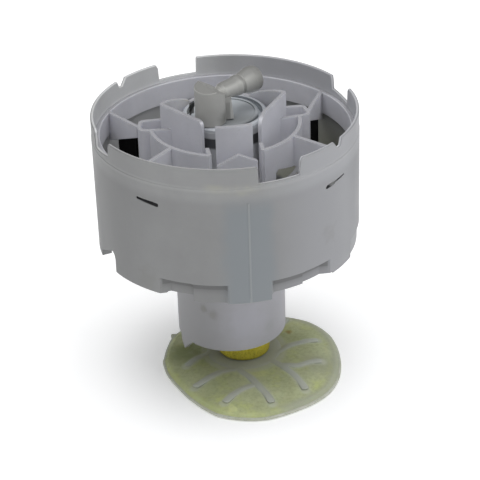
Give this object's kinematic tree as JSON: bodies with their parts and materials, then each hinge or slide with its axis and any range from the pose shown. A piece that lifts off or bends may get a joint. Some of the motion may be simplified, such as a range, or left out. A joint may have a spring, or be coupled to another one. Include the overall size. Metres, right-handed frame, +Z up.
{
  "type": "in-tank fuel pump",
  "caption": "Swirl-pot bucket with a springy star carrier round an electric pump, a barbed outlet elbow, a lower sleeve and a flat leaf-shaped strainer on a brass inlet.",
  "frame": {"origin": "underside of the strainer, on the bucket's axis", "axes": "+Z up along the pump's axis from the strainer to the outlet elbow; the star carrier's mirror plane points 8.6 degrees to the +X side of -Y"},
  "size_m": [0.118, 0.118, 0.147],
  "materials": {
    "pot_plastic": "natural moulded, slightly translucent",
    "star_plastic": "natural moulded, satin",
    "neck_plastic": "natural moulded, satin",
    "grey_plastic": "grey moulded, satin",
    "cap_plastic": "blue grey moulded",
    "zinc_steel": "plated, satin",
    "ground_steel": "ground",
    "spring_steel": "drawn wire",
    "laminations": "stacked sheet",
    "brass": "turned",
    "bronze_bush": "sintered",
    "copper_wire": "enamelled wire",
    "black_rubber": "matt",
    "carbon": "pressed carbon",
    "ferrite": "sintered ferrite, matt",
    "black_plastic": "moulded",
    "frame_plastic": "natural moulded",
    "filter_cloth": "woven mesh, yellowish"
  },
  "bodies": {
    "housing": {"reservoir_bucket": "pot_plastic", "star_carrier": "star_plastic", "neck_sleeve": "neck_plastic", "neck_gasket": "black_rubber", "lower_isolator": "black_rubber", "surge_flap_left": "black_rubber", "surge_flap_right": "black_rubber", "pump_can": "zinc_steel", "top_cap": "cap_plastic", "outlet_elbow": "grey_plastic", "outlet_seal": "black_rubber", "check_valve_spring": "spring_steel", "relief_valve_spring": "spring_steel", "relief_valve_plug": "black_plastic", "brush_spring_positive": "spring_steel", "brush_spring_negative": "spring_steel", "terminal_positive": "brass", "terminal_negative": "brass", "magnet_left": "ferrite", "magnet_right": "ferrite", "magnet_clip_front": "spring_steel", "magnet_clip_rear": "spring_steel", "upper_bush": "bronze_bush", "lower_bush": "bronze_bush", "pump_casing": "black_plastic", "inlet_cover": "black_plastic", "inlet_ring": "brass", "strainer_frame": "frame_plastic", "strainer_mesh": "filter_cloth"},
    "rotor": {"rotor_shaft": "ground_steel", "armature_core": "laminations", "armature_windings": "copper_wire", "commutator": "carbon", "impeller": "black_plastic"},
    "check_valve": {"check_valve_poppet": "black_plastic"},
    "relief_valve": {"relief_valve_ball": "ground_steel"},
    "brush_left": {"brush_positive": "carbon"},
    "brush_right": {"brush_negative": "carbon"}
  },
  "joints": [
    {"name": "rotor_spin", "type": "hinge", "parent": "housing", "child": "rotor", "pos_m": [0, 0, 0.07], "axis": [0, 0, 1], "continuous": true},
    {"name": "check_valve_lift", "type": "slide", "parent": "housing", "child": "check_valve", "axis": [0, 0, 1], "range_m": [0, 0.002], "stiffness_N_per_m": 150, "springref_m": -0.0005, "deforming": ["check_valve_spring"]},
    {"name": "relief_valve_lift", "type": "slide", "parent": "housing", "child": "relief_valve", "axis": [0, 0, 1], "range_m": [0, 0.0015], "stiffness_N_per_m": 1200, "springref_m": -0.002, "deforming": ["relief_valve_spring"]},
    {"name": "brush_positive_slide", "type": "slide", "parent": "housing", "child": "brush_left", "axis": [0, 0, 1], "range_m": [0, 0.0015], "stiffness_N_per_m": 200, "springref_m": -0.003, "deforming": ["brush_spring_positive"]},
    {"name": "brush_negative_slide", "type": "slide", "parent": "housing", "child": "brush_right", "axis": [0, 0, 1], "range_m": [0, 0.0015], "stiffness_N_per_m": 200, "springref_m": -0.003, "deforming": ["brush_spring_negative"]}
  ]
}
